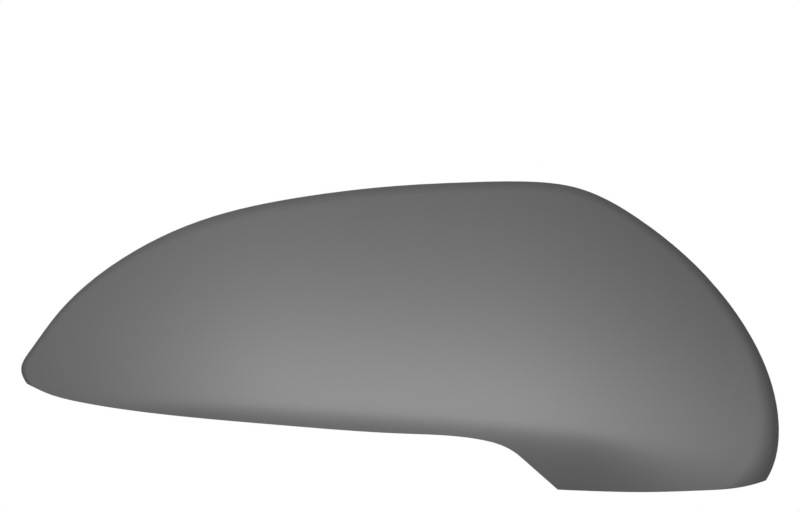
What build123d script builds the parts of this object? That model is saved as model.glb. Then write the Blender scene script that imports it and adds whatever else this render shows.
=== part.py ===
from build123d import *
from math import atan, cos, pi, sin, sqrt
import os

# Wing mirror cover for the right side of a car, moulded in one piece.
# Millimetres. +X points inboard, +Y rearward to the open side, +Z up, and
# the convex front faces -Y. Fractions run 0 to 1 from the outer tip inboard
# and from the lowest edge up.

# overall sizes
LENGTH = 248.0
HEIGHT = 101.5
DEPTH = 90.0
WALL = 2.5
EMBED = 1.0
CUT_REACH = 160.0
CUT_LEAD = 20.0
PAST_RIM = 4.0
PAST_RIM_COLLAR = 6.0

# front surface, as bowls with a crest radius and a limiting slope
CREST_START = 0.315
CREST_FALL = 0.045
CREST_DIP = 0.135
UPPER_RADIUS = 34.0
UPPER_SLOPE = 1.7
LOWER_RADIUS = 3.0
LOWER_RADIUS_OUTER = 4.0
LOWER_RADIUS_INBOARD = 11.0
LOWER_SLOPE = 3.0
LOWER_OUTER_RUN = 0.25
LOWER_INBOARD_FROM = 0.74
LOWER_INBOARD_RUN = 0.24
INBOARD_START = 0.633
INBOARD_RADIUS = 95.0
INBOARD_SLOPE = 0.85
OUTER_START = 0.37
OUTER_RADIUS = 55.0
OUTER_SLOPE = 1.6
PLAN_SOFTNESS = 14.0
CREST_SOFTNESS = 3.0

# rounded edge and side wall between the front and the rim
EDGE_RADIUS = 17.0
TIP_EDGE_RADIUS = 9.0
TIP_RUN = 0.25
LEAN_RADIUS = 62.0

# rim: a small step, then a lip turned inward
RIM_SETBACK = 8.0
STEP_IN = 1.4
STEP_RUN = 0.8
LIP_IN = 3.0
RIM_NOTCH = 8.0
RIM_NOTCH_FROM = 0.80
RIM_NOTCH_RUN = 0.14
RIM_FOOT = 2.5
RIM_FOOT_TOP = 0.35

# front outline from below the outer tip, over the top, to below the inboard
# corner; each entry pairs an outline point with the point it fans out from
FAN = [
    ((0.034, 0.258), (0.148, 0.212)),
    ((0.020, 0.312), (0.149, 0.214)),
    ((0.008, 0.345), (0.150, 0.216)),
    ((0.000, 0.387), (0.152, 0.217)),
    ((0.0126, 0.455), (0.157, 0.218)),
    ((0.0522, 0.583), (0.172, 0.218)),
    ((0.1315, 0.746), (0.205, 0.212)),
    ((0.2371, 0.872), (0.275, 0.194)),
    ((0.3693, 0.948), (0.380, 0.165)),
    ((0.5014, 0.986), (0.490, 0.128)),
    ((0.5900, 0.997), (0.565, 0.085)),
    ((0.6599, 1.000), (0.620, 0.035)),
    ((0.7392, 0.977), (0.672, -0.010)),
    ((0.8185, 0.877), (0.718, -0.024)),
    ((0.8977, 0.715), (0.755, -0.027)),
    ((0.9506, 0.554), (0.780, -0.028)),
    ((0.9836, 0.399), (0.800, -0.028)),
    ((1.0000, 0.2125), (0.816, -0.029)),
    ((0.9955, 0.104), (0.826, -0.029)),
    ((0.9870, 0.050), (0.834, -0.030)),
    ((0.9740, 0.004), (0.842, -0.031)),
]

# lower edge of the front: a long low curve under the outer part, a dip, a
# straight slant to a sharp corner, and the foot of the inboard end
LOW_CURVE = [
    (-0.030, 0.376),
    (0.012, 0.341),
    (0.034, 0.317),
    (0.0786, 0.289),
    (0.1843, 0.253),
    (0.3429, 0.219),
    (0.5014, 0.192),
    (0.6071, 0.172),
    (0.6335, 0.1543),
    (0.6599, 0.1137),
]
CORNER = (0.7088, 0.0065)
FOOT_CURVE = [(0.8185, 0.0), (0.8977, 0.006), (0.9506, 0.0165), (0.977, 0.0316), (1.03, 0.075)]

CORNER_OVERRUN = 0.6
CORNER_LEAD = 12.0

# lamp opening in the inboard end wall, as depth and height corners with radii
LAMP = [
    (56.0, -29.0, 5.0),
    (73.4, -33.6, 1.6),
    (68.0, 18.8, 2.9),
    (61.6, 18.8, 3.2),
    (55.2, -12.0, 40.0),
]
LEDGE_MARGIN = 2.4
LEDGE_SHIFT = 0.9
LEDGE_DEPTH = 0.8
COLLAR_WALL = 1.6
COLLAR_DEPTH = 3.5

# snap hooks behind the rim, by position along the outline
HOOKS = [0.135, 0.27, 0.41, 0.55, 0.69]
HOOK_WIDTH = 10.0
HOOK_REACH = 9.5
HOOK_THICK = 2.0
HOOK_ROOT = 14.0
HOOK_END = 5.5
HOOK_SUNK = 6.0
HOOK_WEB = 14.0
BARB = 1.8
BARB_FRONT = 3.2
BARB_BACK = 4.0

# locating pins on the inside of the front
PINS = [(-48.0, -6.0), (66.0, 2.0)]
PIN_RADIUS = 2.5
PIN_TIP = 64.0
PIN_FREE = 12.0
PIN_CHAMFER = 0.8
BOSS_RADIUS = 4.0
GUSSET = 1.6
GUSSET_SPREAD = 9.0
GUSSET_RISE = 8.0
GUSSET_SHORT = 3.0
GUSSET_SUNK = 2.0

# how finely the skin is described
STATION_GAP = 9.0
SKIN_POINTS = 30
CREST_AT = 0.25
CREST_LIMIT = 0.3
PROBE = 0.25
EDGE_PROBE = 0.2
SHARES = [i / (SKIN_POINTS - 1) for i in range(SKIN_POINTS)]


def point_at(s, l):
    """Front-view position of a pair of fractions, as x and z."""
    return (s - 0.5) * LENGTH, (l - 0.5) * HEIGHT


def warp(t, crest):
    """Smooth map of 0 to 1 onto itself that takes CREST_AT to the crest."""
    return t * crest * (1 - CREST_AT) / (t * (crest - CREST_AT) + CREST_AT * (1 - crest))


def bowl(d, radius, slope):
    """Depth of a bowl with this crest radius, tending to a straight slope."""
    c = radius * slope * slope
    return sqrt(c * c + (slope * d) ** 2) - c


def ramp(d, softness):
    """Zero for negative values and d for positive ones, with a soft turn."""
    return (d + sqrt(d * d + softness * softness)) / 2


def blend(a, b, t):
    """Smooth step between two values."""
    t = min(1.0, max(0.0, t))
    return a + (b - a) * t * t * (3 - 2 * t)


def lower_radius(s):
    """Crest radius on the underside, softer towards both ends."""
    outer = blend(0.0, LOWER_RADIUS_OUTER, (LOWER_OUTER_RUN - s) / LOWER_OUTER_RUN)
    inboard = blend(0.0, LOWER_RADIUS_INBOARD, (s - LOWER_INBOARD_FROM) / LOWER_INBOARD_RUN)
    return LOWER_RADIUS + outer + inboard


def crest_height(x):
    """Height of the foremost line along the cover."""
    s = x / LENGTH + 0.5
    return (CREST_START - CREST_FALL * s - CREST_DIP * s * s - 0.5) * HEIGHT


def crown(x, z):
    """Depth of the front surface behind its foremost point."""
    inboard = ramp(x - (INBOARD_START - 0.5) * LENGTH, PLAN_SOFTNESS)
    outer = ramp((OUTER_START - 0.5) * LENGTH - x, PLAN_SOFTNESS)
    rise = z - crest_height(x)
    depth = bowl(inboard, INBOARD_RADIUS, INBOARD_SLOPE)
    depth += bowl(outer, OUTER_RADIUS, OUTER_SLOPE)
    depth += bowl(ramp(rise, CREST_SOFTNESS), UPPER_RADIUS, UPPER_SLOPE)
    under = lower_radius(x / LENGTH + 0.5)
    depth += bowl(ramp(-rise, CREST_SOFTNESS), under, LOWER_SLOPE)
    return depth


def crest_share(foot, ex, ez, length):
    """Where a section crosses the crest, as a share kept short of its end."""

    def rise(at):
        return foot.Y + ez * at - crest_height(foot.X + ex * at)

    at = length / 2
    for _ in range(20):
        at -= rise(at) / (rise(at + 0.5) - rise(at - 0.5))
    share = at / length
    return share / (1 + (share / CREST_LIMIT) ** 4) ** 0.25


def crown_inside(x, z, inset):
    """Depth of the surface that lies inset below the front surface."""
    if inset == 0.0:
        return crown(x, z)
    gx = (crown(x + PROBE, z) - crown(x - PROBE, z)) / (2 * PROBE)
    gz = (crown(x, z + PROBE) - crown(x, z - PROBE)) / (2 * PROBE)
    return crown(x, z) + inset * sqrt(1 + gx * gx + gz * gz)


def fan_curves():
    """The outline curve and the curve its section lines start from."""
    outline = [Vector(*point_at(*o)) for o, _ in FAN]
    base = [Vector(*point_at(*b)) for _, b in FAN]
    steps = [0.0]
    for a, b in zip(outline, outline[1:]):
        steps.append(steps[-1] + (b - a).length)
    stations = [0.0]
    for a, b in zip(steps, steps[1:]):
        parts = max(1, round((b - a) / STATION_GAP))
        stations += [(a + (b - a) * (i + 1) / parts) / steps[-1] for i in range(parts)]
    steps = [s / steps[-1] for s in steps]
    return (
        Edge.make_spline(outline, parameters=steps),
        Edge.make_spline(base, parameters=steps),
        stations,
    )


OUTLINE, BASE, STATIONS = fan_curves()


def rim_depth(s, l):
    """Depth of the rim edge at an outline point given as fractions."""
    notch = RIM_NOTCH * blend(0.0, 1.0, (s - RIM_NOTCH_FROM) / RIM_NOTCH_RUN)
    foot = RIM_FOOT * blend(0.0, 1.0, (RIM_FOOT_TOP - l) / RIM_FOOT_TOP) if s > 0.5 else 0.0
    return DEPTH - notch + foot


def section(u, inset, past_rim):
    """Edges of one closed section of the skin, in the fan plane at u."""
    o = OUTLINE.position_at(u, PositionMode.PARAMETER)
    b = BASE.position_at(u, PositionMode.PARAMETER)
    tangent = OUTLINE.tangent_at(u, PositionMode.PARAMETER)
    run = o - b
    ex, ez = run.X / run.length, run.Y / run.length
    square = abs(ex * tangent.Y - ez * tangent.X)
    reach = run.length - inset / square
    s, l = o.X / LENGTH + 0.5, o.Y / HEIGHT + 0.5
    radius = blend(TIP_EDGE_RADIUS, EDGE_RADIUS, s / TIP_RUN) - inset

    def depth(w):
        return crown_inside(b.X + ex * w, b.Y + ez * w, inset)

    def slope(w):
        return (depth(w + EDGE_PROBE) - depth(w - EDGE_PROBE)) / (2 * EDGE_PROBE)

    # where the rounded edge leaves the front surface
    w = reach - radius
    for _ in range(30):
        m = slope(w)
        w = reach - radius * (1 - m / sqrt(1 + m * m))
    start = atan(slope(w))
    centre = depth(w) + radius * cos(start)
    rim = rim_depth(s, l)
    stop = rim - RIM_SETBACK

    def place(w, y):
        return Vector(b.X + ex * w, y, b.Y + ez * w)

    def along(m):
        return Vector(ex, m, ez).normalized()

    # the front, with the crest at the same share of every section
    crest = crest_share(b, ex, ez, w)
    steps = [w * warp(t, crest) for t in SHARES]
    front = [place(at, depth(at)) for at in steps]
    edges = [
        Edge.make_spline(front, tangents=[along(slope(0.0)), along(slope(w))], parameters=SHARES)
    ]
    # the rounded edge and the leaning side wall
    middle = (start + pi / 2) / 2
    shoulder = place(reach, centre)
    mid_arc = place(reach - radius + radius * sin(middle), centre - radius * cos(middle))
    edges.append(Edge.make_three_point_arc(front[-1], mid_arc, shoulder))
    length = stop - centre
    lean = length**2 / (2 * LEAN_RADIUS)
    end = place(reach - lean, stop)
    mid_wall = place(reach - lean / 4, centre + length / 2)
    edges.append(Edge.make_three_point_arc(shoulder, mid_wall, end))
    # the step, the lip and the way back to the start
    rate = LIP_IN / (RIM_SETBACK - STEP_RUN)
    edge = reach - lean
    corners = [
        end,
        place(edge - STEP_IN, stop + STEP_RUN),
        place(edge - STEP_IN - LIP_IN - rate * past_rim, rim + past_rim),
        place(0.0, rim + past_rim),
        front[0],
    ]
    edges += [Edge.make_line(p, q) for p, q in zip(corners, corners[1:])]
    return edges, end


def skin_solid(inset, past_rim):
    """Solid bounded by the skin that lies inset below the outer surface."""
    return Solid.make_loft([Wire(section(u, inset, past_rim)[0]) for u in STATIONS])


def block_below(edges):
    """Block that reaches down from a chain of edges in the front view."""
    first = edges[0].start_point()
    last = edges[-1].end_point()
    drop = Vector(0.0, 0.0, -HEIGHT)
    closing = [
        Edge.make_line(last, last + drop),
        Edge.make_line(last + drop, first + drop),
        Edge.make_line(first + drop, first),
    ]
    return Solid.extrude(Face(Wire(edges + closing)), Vector(0.0, CUT_REACH, 0.0))


def below_edge():
    """Blocks that take away what lies below the lower edge."""
    low = [Vector(x, -CUT_LEAD, z) for x, z in (point_at(*p) for p in LOW_CURVE)]
    foot = [Vector(x, -CUT_LEAD, z) for x, z in (point_at(*p) for p in FOOT_CURVE)]
    x, z = point_at(*CORNER)
    corner = Vector(x, -CUT_LEAD, z)
    slant = (corner - low[-1]) * CORNER_OVERRUN
    outer = [Edge.make_spline(low), Edge.make_line(low[-1], corner + slant)]
    inboard = [
        Edge.make_line(corner - Vector(CORNER_LEAD, 0.0, 0.0), corner),
        Edge.make_spline([corner] + foot),
    ]
    return block_below(outer), block_below(inboard)


def lamp_prism(margin, shift):
    """Prism along X with the lamp opening's outline grown by a margin."""
    inner_x, outer_x = LENGTH / 4, LENGTH * 0.6
    face = Face(Wire.make_polygon([Vector(inner_x, y, z) for y, z, _ in LAMP]))
    for y, z, r in LAMP:
        v = face.vertices().sort_by_distance((inner_x, y, z))[0]
        face = face.fillet_2d(r, [v])
    if margin:
        face = Face(face.outer_wire().offset_2d(margin))
    face = face.moved(Location((0.0, shift, -shift)))
    return Solid.extrude(face, Vector(outer_x - inner_x, 0.0, 0.0))


def hook(u):
    """Snap hook on the inside of the wall, at outline position u."""
    origin = section(u, WALL, 0.0)[1]
    tangent = OUTLINE.tangent_at(u, PositionMode.PARAMETER)
    frame = Plane(origin=origin, x_dir=Vector(tangent.X, 0, tangent.Y), z_dir=Vector(0, 1, 0))
    near = HOOK_REACH - HOOK_THICK
    profile = [
        (-HOOK_SUNK, -HOOK_ROOT),
        (near, -HOOK_ROOT),
        (HOOK_REACH, -HOOK_ROOT + HOOK_THICK),
        (HOOK_REACH, HOOK_END - BARB_BACK),
        (HOOK_REACH + BARB, HOOK_END - BARB_FRONT),
        (HOOK_REACH, HOOK_END),
        (near, HOOK_END),
        (near, -HOOK_ROOT + 2 * HOOK_THICK),
        (-HOOK_SUNK, -HOOK_ROOT + 2 * HOOK_THICK),
    ]
    web = [(-HOOK_SUNK, -HOOK_ROOT - HOOK_WEB), (near, -HOOK_ROOT), (-HOOK_SUNK, -HOOK_ROOT)]
    solids = []
    for outline, width in ((profile, HOOK_WIDTH), (web, GUSSET)):
        pts = [frame.from_local_coords(Vector(-width / 2, a, b)) for a, b in outline]
        face = Face(Wire.make_polygon(pts))
        across = frame.x_dir * width
        solids.append(Solid.extrude(face, across))
    return solids


def pin(x, z):
    """Locating pin on a boss with cross gussets."""
    base = crown(x, z)
    tip = Solid.make_cylinder(PIN_RADIUS, PIN_TIP - base, Plane((x, base, z), z_dir=(0, 1, 0)))
    top = tip.edges().sort_by(Axis.Y)[-1]
    tip = tip.chamfer(PIN_CHAMFER, None, [top])
    shoulder = PIN_TIP - PIN_FREE
    foot = BOSS_RADIUS + GUSSET_SPREAD
    gusset = [
        (0.0, shoulder - GUSSET_SHORT),
        (BOSS_RADIUS, shoulder - GUSSET_SHORT),
        (foot, base + GUSSET_RISE),
        (foot, base - GUSSET_SUNK),
        (0.0, base - GUSSET_SUNK),
    ]
    boss = Solid.make_cylinder(BOSS_RADIUS, shoulder - base, Plane((x, base, z), z_dir=(0, 1, 0)))
    parts = [tip, boss]
    for ax, az in ((1, 0), (0, 1), (-1, 0), (0, -1)):
        side = Vector(az, 0, ax) * (GUSSET / 2)
        pts = [Vector(x + ax * r, y, z + az * r) - side for r, y in gusset]
        parts.append(Solid.extrude(Face(Wire.make_polygon(pts)), side * 2))
    return parts


def lamp_ledge():
    """Shallow ledge let into the outside around the lamp opening."""
    around = lamp_prism(LEDGE_MARGIN, LEDGE_SHIFT)
    return around - skin_solid(LEDGE_DEPTH, 0.0)


def lamp_collar():
    """Collar behind the lamp opening, standing into the cover."""
    around = lamp_prism(COLLAR_WALL, 0.0)
    inside = around & skin_solid(EMBED, PAST_RIM)
    return inside - skin_solid(WALL + COLLAR_DEPTH, PAST_RIM_COLLAR)


def fixings():
    """Hooks and pins, cut off where they enter the wall."""
    solids = []
    for u in HOOKS:
        solids += hook(u)
    for x, z in PINS:
        solids += pin(x, z)
    return solids[0].fuse(*solids[1:]) & skin_solid(EMBED, 0.0)


def build_cover():
    """The whole cover as one solid."""
    outer = skin_solid(0.0, 0.0)
    for block in below_edge():
        outer = outer - block
    cover = outer - skin_solid(WALL, PAST_RIM)
    cover = cover + lamp_collar()
    cover = cover - lamp_ledge() - lamp_prism(0.0, 0.0)
    return cover + fixings()


os.makedirs("parts", exist_ok=True)
cover = build_cover()
print("one solid:", len(cover.solids()) == 1, "valid:", cover.is_valid)
foremost = min(crown(x, crest_height(x)) for x in range(-30, 31))
centred = cover.solids()[0].moved(Location((0.0, -(foremost + DEPTH) / 2, 0.0)))
export_step(centred, "parts/mirror_cover.step")
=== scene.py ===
"""Wing mirror cover: the moulded cap in grey primer, and the studio around it.

Sizes of the cap are millimetres, as a mould maker writes them. Blender's own
sizes are metres. +X is inboard, +Y is rearward, +Z is up.
"""

import logging
import math
from dataclasses import dataclass, fields
from typing import Any, Union

import bpy
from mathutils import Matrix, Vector


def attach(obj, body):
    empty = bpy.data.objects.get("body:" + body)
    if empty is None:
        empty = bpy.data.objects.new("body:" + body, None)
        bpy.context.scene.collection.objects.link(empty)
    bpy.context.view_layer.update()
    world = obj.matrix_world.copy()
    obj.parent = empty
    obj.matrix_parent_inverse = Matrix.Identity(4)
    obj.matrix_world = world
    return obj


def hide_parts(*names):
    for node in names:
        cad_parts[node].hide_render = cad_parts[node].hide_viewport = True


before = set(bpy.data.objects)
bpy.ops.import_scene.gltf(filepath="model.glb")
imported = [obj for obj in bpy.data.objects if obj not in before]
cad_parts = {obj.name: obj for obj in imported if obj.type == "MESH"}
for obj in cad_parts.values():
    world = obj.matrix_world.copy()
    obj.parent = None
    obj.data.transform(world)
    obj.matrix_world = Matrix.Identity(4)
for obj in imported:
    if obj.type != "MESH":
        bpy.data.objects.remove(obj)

LOG = logging.getLogger("mirror_cover")
MM = 0.001
BODY = "root"
NODE = "mirror_cover"
WHITE = (1.0, 1.0, 1.0, 1.0)

Number = Union[int, float]
Operand = Union["Value", Number]


class Tree:
    """A node tree that is written as Python expressions."""

    def __init__(self, tree: bpy.types.NodeTree) -> None:
        """Keep the tree that the nodes are added to.

        Args:
            tree: A shader or geometry node tree.
        """
        self.tree = tree

    def node(
        self,
        kind: str,
        settings: dict[str, Any] | None = None,
        sockets: dict[Any, Any] | None = None,
    ) -> bpy.types.Node:
        """Add a node.

        Args:
            kind: The node's type name.
            settings: Properties of the node, set before its sockets.
            sockets: Values or links by input name or index.

        Returns:
            The new node.
        """
        made = self.tree.nodes.new(kind)
        for name, setting in (settings or {}).items():
            setattr(made, name, setting)
        for key, given in (sockets or {}).items():
            socket = made.inputs[key]
            if isinstance(given, Value):
                given = given.socket
            if isinstance(given, bpy.types.NodeSocket):
                self.tree.links.new(given, socket)
            else:
                socket.default_value = given
        return made

    def out(self, made: bpy.types.Node, key: Any = 0) -> "Value":
        """Wrap one output of a node.

        Args:
            made: The node.
            key: The output's name or index.

        Returns:
            The output as a value for expressions.
        """
        return Value(self, made.outputs[key])


class Value:
    """A number socket that adds Math nodes when it is used in an expression."""

    def __init__(self, tree: Tree, socket: bpy.types.NodeSocket) -> None:
        """Keep the socket and its tree.

        Args:
            tree: The tree that the socket belongs to.
            socket: The socket that gives the number.
        """
        self.tree = tree
        self.socket = socket

    def math(self, operation: str, *operands: Operand) -> "Value":
        """Add a Math node.

        Args:
            operation: The Math node's operation.
            operands: Its inputs in order.

        Returns:
            The result.
        """
        made = self.tree.node("ShaderNodeMath", {"operation": operation}, dict(enumerate(operands)))
        return Value(self.tree, made.outputs[0])

    def __add__(self, other: Operand) -> "Value":
        """Sum."""
        return self.math("ADD", self, other)

    def __radd__(self, other: Operand) -> "Value":
        """Sum with a number on the left."""
        return self.math("ADD", other, self)

    def __sub__(self, other: Operand) -> "Value":
        """Difference."""
        return self.math("SUBTRACT", self, other)

    def __rsub__(self, other: Operand) -> "Value":
        """Difference from a number on the left."""
        return self.math("SUBTRACT", other, self)

    def __mul__(self, other: Operand) -> "Value":
        """Product."""
        return self.math("MULTIPLY", self, other)

    def __rmul__(self, other: Operand) -> "Value":
        """Product with a number on the left."""
        return self.math("MULTIPLY", other, self)

    def __truediv__(self, other: Operand) -> "Value":
        """Quotient."""
        return self.math("DIVIDE", self, other)

    def __rtruediv__(self, other: Operand) -> "Value":
        """Quotient with a number on the left."""
        return self.math("DIVIDE", other, self)

    def __neg__(self) -> "Value":
        """Negative."""
        return self.math("MULTIPLY", self, -1.0)

    def __lt__(self, other: Operand) -> "Value":
        """One where this is less, zero elsewhere."""
        return self.math("LESS_THAN", self, other)

    def __gt__(self, other: Operand) -> "Value":
        """One where this is greater, zero elsewhere."""
        return self.math("GREATER_THAN", self, other)

    def root(self) -> "Value":
        """Square root."""
        return self.math("SQRT", self)

    def clamped(self) -> "Value":
        """Kept between zero and one."""
        return self.math("MINIMUM", self.math("MAXIMUM", self, 0.0), 1.0)


def unlit_rays(tree: Tree) -> Value:
    """Mask of the rays to which the background looks white.

    Args:
        tree: The material or world tree that asks.

    Returns:
        One for camera, glossy and transmission rays, zero for the rest.
    """
    path = tree.node("ShaderNodeLightPath")
    seen = tree.out(path, "Is Camera Ray") + tree.out(path, "Is Glossy Ray")
    return (seen + tree.out(path, "Is Transmission Ray")).clamped()


@dataclass(frozen=True)
class PrimerFinish:
    """Neutral grey primer with a low sheen, as a cap comes before it is painted."""

    grey: float = 0.22
    roughness: float = 0.75
    roughness_spread: float = 0.03
    specular: float = 0.15
    grain_per_metre: float = 2600.0
    grain_detail: float = 2.0
    grain_height: float = 0.000004
    grain_strength: float = 0.12

    def material(self) -> bpy.types.Material:
        """Build the primer.

        Returns:
            The material.
        """
        made = bpy.data.materials.new("satin_primer")
        made.use_nodes = True
        made.node_tree.nodes.clear()
        tree = Tree(made.node_tree)
        place = tree.node("ShaderNodeTexCoord").outputs["Object"]
        grain = tree.node(
            "ShaderNodeTexNoise",
            {"noise_dimensions": "3D"},
            {"Vector": place, "Scale": self.grain_per_metre, "Detail": self.grain_detail},
        )
        spray = tree.out(grain, 0)
        bump = tree.node(
            "ShaderNodeBump",
            {},
            {"Strength": self.grain_strength, "Distance": self.grain_height, "Height": spray},
        )
        roughness = self.roughness + (spray - 0.5) * (2.0 * self.roughness_spread)
        shader = tree.node(
            "ShaderNodeBsdfPrincipled",
            {},
            {
                "Base Color": (self.grey, self.grey, self.grey, 1.0),
                "Roughness": roughness,
                "Specular IOR Level": self.specular,
                "Normal": bump.outputs["Normal"],
            },
        )
        tree.node("ShaderNodeOutputMaterial", {}, {"Surface": shader.outputs[0]})
        return made


@dataclass(frozen=True)
class PaperFinish:
    """White studio paper that shows white to the camera and keeps shadows."""

    white: float = 0.3
    lift: float = 0.96

    def material(self) -> bpy.types.Material:
        """Build the paper.

        Returns:
            The material.
        """
        made = bpy.data.materials.new("studio_paper")
        made.use_nodes = True
        made.node_tree.nodes.clear()
        tree = Tree(made.node_tree)
        seen = unlit_rays(tree)
        matt = tree.node("ShaderNodeBsdfDiffuse", {}, {"Color": (self.white,) * 3 + (1.0,)})
        glow = tree.node("ShaderNodeEmission", {}, {"Color": WHITE, "Strength": seen * self.lift})
        both = tree.node("ShaderNodeAddShader", {}, {0: matt.outputs[0], 1: glow.outputs[0]})
        tree.node("ShaderNodeOutputMaterial", {}, {"Surface": both.outputs[0]})
        return made


@dataclass(frozen=True)
class Crown:
    """Rule for the depth of the front: bowls on a crest line, in millimetres.

    Starts, falls and runs are shares of the length or of the height, counted
    from the outer tip and from the lowest edge. The middle depth is what puts
    the middle of the cap's box at zero.
    """

    length: float = 248.0
    height: float = 101.5
    middle_depth: float = 45.217
    crest_start: float = 0.315
    crest_fall: float = 0.045
    crest_dip: float = 0.135
    upper_radius: float = 34.0
    upper_slope: float = 1.7
    lower_radius: float = 3.0
    lower_radius_outer: float = 4.0
    lower_outer_run: float = 0.25
    lower_radius_inboard: float = 11.0
    lower_inboard_from: float = 0.74
    lower_inboard_run: float = 0.24
    lower_slope: float = 3.0
    inboard_start: float = 0.633
    inboard_radius: float = 95.0
    inboard_slope: float = 0.85
    outer_start: float = 0.37
    outer_radius: float = 55.0
    outer_slope: float = 1.6
    plan_softness: float = 14.0
    crest_softness: float = 3.0

    @staticmethod
    def bowl(away: Value, radius: Operand, slope: Operand) -> Value:
        """Depth of a bowl with a crest radius that tends to a straight slope.

        Args:
            away: Distance from the bowl's lowest line.
            radius: Radius at that line.
            slope: Slope far from it.

        Returns:
            The depth.
        """
        bend = radius * slope * slope
        straight = away * slope
        return (bend * bend + straight * straight).root() - bend

    @staticmethod
    def ramp(past: Value, softness: Operand) -> Value:
        """Zero before the start and the way past it after, with a soft turn."""
        return (past + (past * past + softness * softness).root()) / 2.0

    @staticmethod
    def step(share: Value) -> Value:
        """Smooth step from zero to one."""
        held = share.clamped()
        return held * held * (3.0 - 2.0 * held)

    def group(self) -> bpy.types.GeometryNodeTree:
        """Build the node group that gives the depth at a place.

        Returns:
            A group with inputs X, Z and one per size, and output Depth.
        """
        made = bpy.data.node_groups.new("crown_depth", "GeometryNodeTree")
        for name in ("X", "Z", *(f.name for f in fields(self))):
            socket = made.interface.new_socket(name, in_out="INPUT", socket_type="NodeSocketFloat")
            socket.default_value = getattr(self, name, 0.0)
        made.interface.new_socket("Depth", in_out="OUTPUT", socket_type="NodeSocketFloat")
        tree = Tree(made)
        given = tree.node("NodeGroupInput")
        size = {f.name: tree.out(given, f.name) for f in fields(self)}
        x, z = tree.out(given, "X"), tree.out(given, "Z")
        share = x / size["length"] + 0.5
        fall = size["crest_fall"] * share + size["crest_dip"] * share * share
        crest = size["crest_start"] - fall
        rise = z - (crest - 0.5) * size["height"]
        inboard = self.ramp(x - (size["inboard_start"] - 0.5) * size["length"], size["plan_softness"])
        outer = self.ramp((size["outer_start"] - 0.5) * size["length"] - x, size["plan_softness"])
        to_tip = (size["lower_outer_run"] - share) / size["lower_outer_run"]
        to_car = (share - size["lower_inboard_from"]) / size["lower_inboard_run"]
        under = size["lower_radius"] + size["lower_radius_outer"] * self.step(to_tip)
        under = under + size["lower_radius_inboard"] * self.step(to_car)
        depth = self.bowl(inboard, size["inboard_radius"], size["inboard_slope"])
        depth = depth + self.bowl(outer, size["outer_radius"], size["outer_slope"])
        above = self.ramp(rise, size["crest_softness"])
        depth = depth + self.bowl(above, size["upper_radius"], size["upper_slope"])
        below = self.ramp(-rise, size["crest_softness"])
        depth = depth + self.bowl(below, under, size["lower_slope"])
        tree.node("NodeGroupOutput", {}, {"Depth": depth - size["middle_depth"]})
        return made


class CrownField:
    """The crown's rule, its slopes and its normal at each point of a mesh."""

    def __init__(self, tree: Tree, rule: bpy.types.GeometryNodeTree, probe: Value) -> None:
        """Read each point's place and work the rule out there.

        Args:
            tree: The geometry tree to add to.
            rule: The crown's node group.
            probe: How far to each side the slope is measured, in millimetres.
        """
        self.tree = tree
        self.rule = rule
        position = tree.node("GeometryNodeInputPosition").outputs[0]
        place = tree.node("ShaderNodeSeparateXYZ", {}, {0: position})
        self.x, self.y, self.z = (tree.out(place, axis) / MM for axis in range(3))
        self.here = self.depth(self.x, self.z)
        side = self.depth(self.x + probe, self.z) - self.depth(self.x - probe, self.z)
        rise = self.depth(self.x, self.z + probe) - self.depth(self.x, self.z - probe)
        self.slope_x = side / (probe * 2.0)
        self.slope_z = rise / (probe * 2.0)
        self.stretch = (self.slope_x * self.slope_x + self.slope_z * self.slope_z + 1.0).root()

    def depth(self, at_x: Value, at_z: Value) -> Value:
        """Depth of the crown at a place."""
        used = self.tree.node("GeometryNodeGroup", {"node_tree": self.rule}, {"X": at_x, "Z": at_z})
        return self.tree.out(used, "Depth")

    def on_skin(self, depth: Value) -> bpy.types.NodeSocket:
        """Place at a depth straight behind or before each point."""
        axes = {0: self.x * MM, 1: depth * MM, 2: self.z * MM}
        return self.tree.node("ShaderNodeCombineXYZ", {}, axes).outputs[0]

    def normal(self) -> Value:
        """Outward normal of the crown at each point.

        Returns:
            A vector of length one.
        """
        steep = self.stretch
        axes = {0: self.slope_x / steep, 1: -1.0 / steep, 2: self.slope_z / steep}
        return self.tree.out(self.tree.node("ShaderNodeCombineXYZ", {}, axes))


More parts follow.
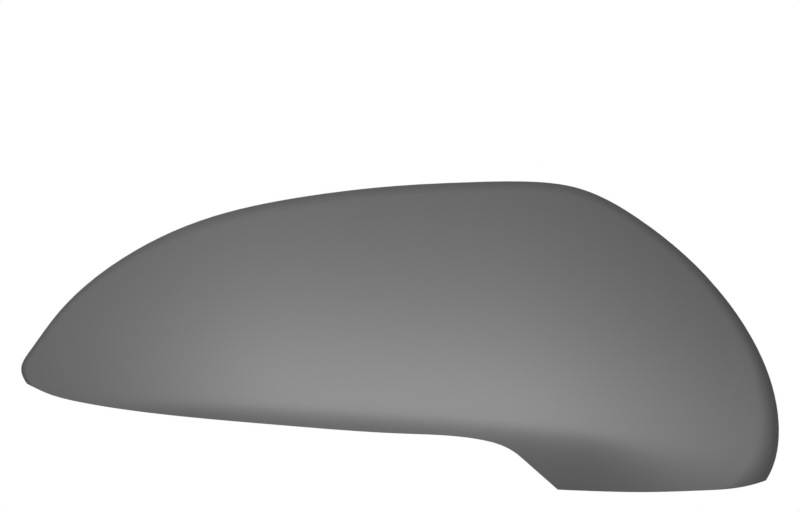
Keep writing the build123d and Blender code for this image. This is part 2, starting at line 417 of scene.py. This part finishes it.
@dataclass
class CapShell:
    """The moulded cap: its two skins laid exactly on the crown's rule.

    Wall, reaches, probe and weld are millimetres. A point belongs to a skin
    when it lies no further before it or behind it than the reaches say.
    """

    crown: Crown
    finish: PrimerFinish
    wall: float = 2.5
    reach_before: float = 0.2
    reach_behind: float = 0.04
    probe: float = 0.25
    facing: float = 0.6
    crease_degrees: float = 24.0
    weld: float = 0.002

    def sizes(self) -> dict[str, float]:
        """Values for the tree's named inputs."""
        return {
            "Wall": self.wall,
            "Reach Before": self.reach_before,
            "Reach Behind": self.reach_behind,
            "Probe": self.probe,
            "Facing": self.facing,
            "Crease": math.radians(self.crease_degrees),
            "Weld": self.weld * MM,
        }

    def skins_tree(self, material: bpy.types.Material) -> bpy.types.GeometryNodeTree:
        """Build the tree that lays the front's skins on the crown.

        Points of the moulding that are within reach of a skin are set on it,
        and the outer skin takes its shading from the rule's own slope.

        Args:
            material: The finish that the tree sets.

        Returns:
            The tree, with named inputs for the sizes.
        """
        made = bpy.data.node_groups.new("cap_skins", "GeometryNodeTree")
        made.interface.new_socket("Moulding", in_out="INPUT", socket_type="NodeSocketGeometry")
        for name in self.sizes():
            made.interface.new_socket(name, in_out="INPUT", socket_type="NodeSocketFloat")
        made.interface.new_socket("Cap", in_out="OUTPUT", socket_type="NodeSocketGeometry")
        tree = Tree(made)
        given = tree.node("NodeGroupInput")
        field = CrownField(tree, self.crown.group(), tree.out(given, "Probe"))
        welded = tree.node(
            "GeometryNodeMergeByDistance",
            {},
            {"Geometry": tree.out(given, "Moulding"), "Distance": tree.out(given, "Weld")},
        )
        inner = field.here + tree.out(given, "Wall") * field.stretch
        outer_laid, on_outer = self.laid(tree, given, field, tree.out(welded), field.here)
        both_laid, _ = self.laid(tree, given, field, outer_laid, inner)
        shaded = tree.node(
            "GeometryNodeSetMeshNormal",
            {"mode": "FREE", "domain": "CORNER"},
            {
                "Mesh": self.creased(tree, given, both_laid),
                "Custom Normal": self.rule_normals(tree, given, field, on_outer),
            },
        )
        whole = tree.node("GeometryNodeRealizeInstances", {}, {0: tree.out(shaded)})
        dressed = tree.node(
            "GeometryNodeSetMaterial", {}, {"Geometry": tree.out(whole), "Material": material}
        )
        tree.node("NodeGroupOutput", {}, {"Cap": tree.out(dressed)})
        return made

    @staticmethod
    def laid(
        tree: Tree, given: bpy.types.Node, field: CrownField, shape: Value, skin: Value
    ) -> tuple[Value, Value]:
        """Set the points that are within reach of a skin exactly on it.

        Args:
            tree: The tree to add to.
            given: The tree's input node.
            field: The crown's rule.
            shape: The moulding so far.
            skin: Depth of the skin.

        Returns:
            The new shape, and one on the skin's points and zero elsewhere.
        """
        off = (field.y - skin) / field.stretch
        before, behind = tree.out(given, "Reach Before"), tree.out(given, "Reach Behind")
        chosen = (off > -before) * (off < behind)
        moved = tree.node(
            "GeometryNodeSetPosition",
            {},
            {"Geometry": shape, "Selection": chosen, "Position": field.on_skin(skin)},
        )
        return tree.out(moved), chosen

    @staticmethod
    def creased(tree: Tree, given: bpy.types.Node, shape: Value) -> Value:
        """Shade the moulding smooth, and keep its folds sharp.

        Args:
            tree: The tree to add to.
            given: The tree's input node.
            shape: The moulding so far.

        Returns:
            The moulding with its sharp edges marked.
        """
        angle = tree.out(tree.node("GeometryNodeInputMeshEdgeAngle"), "Unsigned Angle")
        smooth = tree.node("GeometryNodeSetShadeSmooth", {"domain": "FACE"}, {"Geometry": shape})
        sharp = tree.node(
            "GeometryNodeSetShadeSmooth",
            {"domain": "EDGE"},
            {
                "Geometry": tree.out(smooth),
                "Selection": angle > tree.out(given, "Crease"),
                "Shade Smooth": False,
            },
        )
        return tree.out(sharp)

    @staticmethod
    def rule_normals(
        tree: Tree, given: bpy.types.Node, field: CrownField, on_outer: Value
    ) -> Value:
        """Choose the rule's normal on the outer skin and the mesh's elsewhere.

        Args:
            tree: The tree to add to.
            given: The tree's input node.
            field: The crown's rule.
            on_outer: One on points of the outer skin.

        Returns:
            The normal for each corner.
        """
        rule = field.normal()
        own = tree.node("GeometryNodeInputNormal")
        product = tree.node(
            "ShaderNodeVectorMath",
            {"operation": "DOT_PRODUCT"},
            {0: own.outputs["True Normal"], 1: rule},
        )
        faces_out = tree.out(product, "Value") > tree.out(given, "Facing")
        choice = tree.node(
            "GeometryNodeSwitch",
            {"input_type": "VECTOR"},
            {"Switch": faces_out * on_outer, "False": own.outputs["Normal"], "True": rule},
        )
        return tree.out(choice)

    def build(self, moulding: bpy.types.Object) -> bpy.types.Object:
        """Make the visible cap from the moulding's solid.

        Args:
            moulding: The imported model's node.

        Returns:
            The cap as a plain mesh object at the origin.
        """
        material = self.finish.material()
        work = bpy.data.objects.new("cap_work", moulding.data.copy())
        bpy.context.scene.collection.objects.link(work)
        work.data.materials.clear()
        work.data.materials.append(material)
        modifier = work.modifiers.new("skins", "NODES")
        modifier.node_group = self.skins_tree(material)
        set_inputs(modifier, self.sizes())
        cap = baked(work, "cap_shell")
        bpy.data.objects.remove(work)
        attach(cap, BODY)
        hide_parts(NODE)
        return cap


def set_inputs(modifier: bpy.types.NodesModifier, sizes: dict[str, Any]) -> None:
    """Set a geometry modifier's inputs by their sockets' identifiers.

    Args:
        modifier: The modifier.
        sizes: Values by input name.
    """
    for item in modifier.node_group.interface.items_tree:
        if item.item_type == "SOCKET" and item.in_out == "INPUT" and item.name in sizes:
            modifier[item.identifier] = sizes[item.name]


def baked(source: bpy.types.Object, name: str) -> bpy.types.Object:
    """Turn an object with live modifiers into a plain mesh at the origin.

    Args:
        source: The object whose evaluated shape is kept.
        name: The new object's name.

    Returns:
        The new object, linked to the scene.
    """
    graph = bpy.context.evaluated_depsgraph_get()
    mesh = bpy.data.meshes.new_from_object(source.evaluated_get(graph), depsgraph=graph)
    made = bpy.data.objects.new(name, mesh)
    bpy.context.scene.collection.objects.link(made)
    return made


@dataclass(frozen=True)
class Lamp:
    """One round soft lamp that faces the cap.

    Azimuth 0 is straight in front of the cap, and 90 is on its inboard side.
    """

    name: str
    azimuth: float
    elevation: float
    power: float
    size: float
    distance: float = 2.0

    def build(self) -> bpy.types.Object:
        """Add the lamp.

        Returns:
            The lamp.
        """
        data = bpy.data.lights.new(self.name, "AREA")
        data.shape = "DISK"
        data.size = self.size
        data.energy = self.power
        across, up = math.radians(self.azimuth), math.radians(self.elevation)
        level = math.cos(up)
        toward = Vector((math.sin(across) * level, -math.cos(across) * level, math.sin(up)))
        made = bpy.data.objects.new(self.name, data)
        made.location = toward * self.distance
        made.visible_camera = False
        made.rotation_euler = toward.to_track_quat("Z", "Y").to_euler()
        bpy.context.scene.collection.objects.link(made)
        return made


@dataclass
class Studio:
    """White paper, soft lights and a long lens level with the cap.

    The aim is the place in metres that the picture's middle shows. The clip
    ratio is how many times nearer and further than that the lens still sees.
    """

    paper: PaperFinish
    lamps: tuple[Lamp, ...]
    floor_drop: float = 0.35
    paper_size: float = 4.0
    lens: float = 600.0
    sensor: float = 36.0
    image_width: float = 800.0
    mm_per_pixel: float = 0.3265
    aim: tuple[float, float, float] = (0.0003, 0.0, 0.0262)
    clip_ratio: float = 10.0
    ambient: float = 0.1

    def camera(self) -> bpy.types.Object:
        """Add the camera, level and square to the front.

        Returns:
            The camera.
        """
        data = bpy.data.cameras.new("long_lens")
        data.lens = self.lens
        data.sensor_width = self.sensor
        width = self.image_width * self.mm_per_pixel * MM
        away = width * self.lens / self.sensor
        data.clip_start = away / self.clip_ratio
        data.clip_end = away * self.clip_ratio
        made = bpy.data.objects.new("camera", data)
        made.location = Vector(self.aim) - Vector((0.0, away, 0.0))
        made.rotation_euler = (math.radians(90.0), 0.0, 0.0)
        bpy.context.scene.collection.objects.link(made)
        bpy.context.scene.camera = made
        return made

    def floor(self) -> bpy.types.Object:
        """Add the paper floor below the cap.

        Returns:
            The floor.
        """
        half = self.paper_size / 2.0
        corners = [(-half, -half), (half, -half), (half, half), (-half, half)]
        mesh = bpy.data.meshes.new("floor")
        mesh.from_pydata([(x, y, -self.floor_drop) for x, y in corners], [], [(0, 1, 2, 3)])
        mesh.materials.append(self.paper.material())
        made = bpy.data.objects.new("floor", mesh)
        bpy.context.scene.collection.objects.link(made)
        return made

    def world(self) -> None:
        """Light the cap dimly from all sides, and look white to the masked rays."""
        made = bpy.data.worlds.new("studio")
        bpy.context.scene.world = made
        made.use_nodes = True
        made.node_tree.nodes.clear()
        tree = Tree(made.node_tree)
        seen = unlit_rays(tree)
        sky = tree.node(
            "ShaderNodeBackground",
            {},
            {"Color": WHITE, "Strength": self.ambient + (1.0 - self.ambient) * seen},
        )
        tree.node("ShaderNodeOutputWorld", {}, {"Surface": sky.outputs[0]})

    def build(self) -> None:
        """Set up the camera, the floor, the lights and the view settings."""
        view = bpy.context.scene.view_settings
        view.view_transform = "Standard"
        self.camera()
        self.floor()
        self.world()
        for lamp in self.lamps:
            lamp.build()


LAMPS = (
    Lamp("key", azimuth=0.0, elevation=0.0, power=1.35, size=0.2, distance=0.4),
    Lamp("side", azimuth=-60.0, elevation=40.0, power=1.75, size=0.4, distance=1.0),
    Lamp("under", azimuth=30.0, elevation=-30.0, power=0.22, size=0.2, distance=0.5),
    Lamp("back", azimuth=180.0, elevation=0.0, power=16.0, size=0.5),
)


def main() -> None:
    """Build the cap, then the studio."""
    logging.basicConfig(level=logging.INFO, format="%(message)s")
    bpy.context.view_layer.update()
    cap = CapShell(Crown(), PrimerFinish()).build(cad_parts[NODE])
    LOG.info("%s: %d faces", cap.name, len(cap.data.polygons))
    Studio(PaperFinish(), LAMPS).build()


if __name__ == "__main__":
    main()
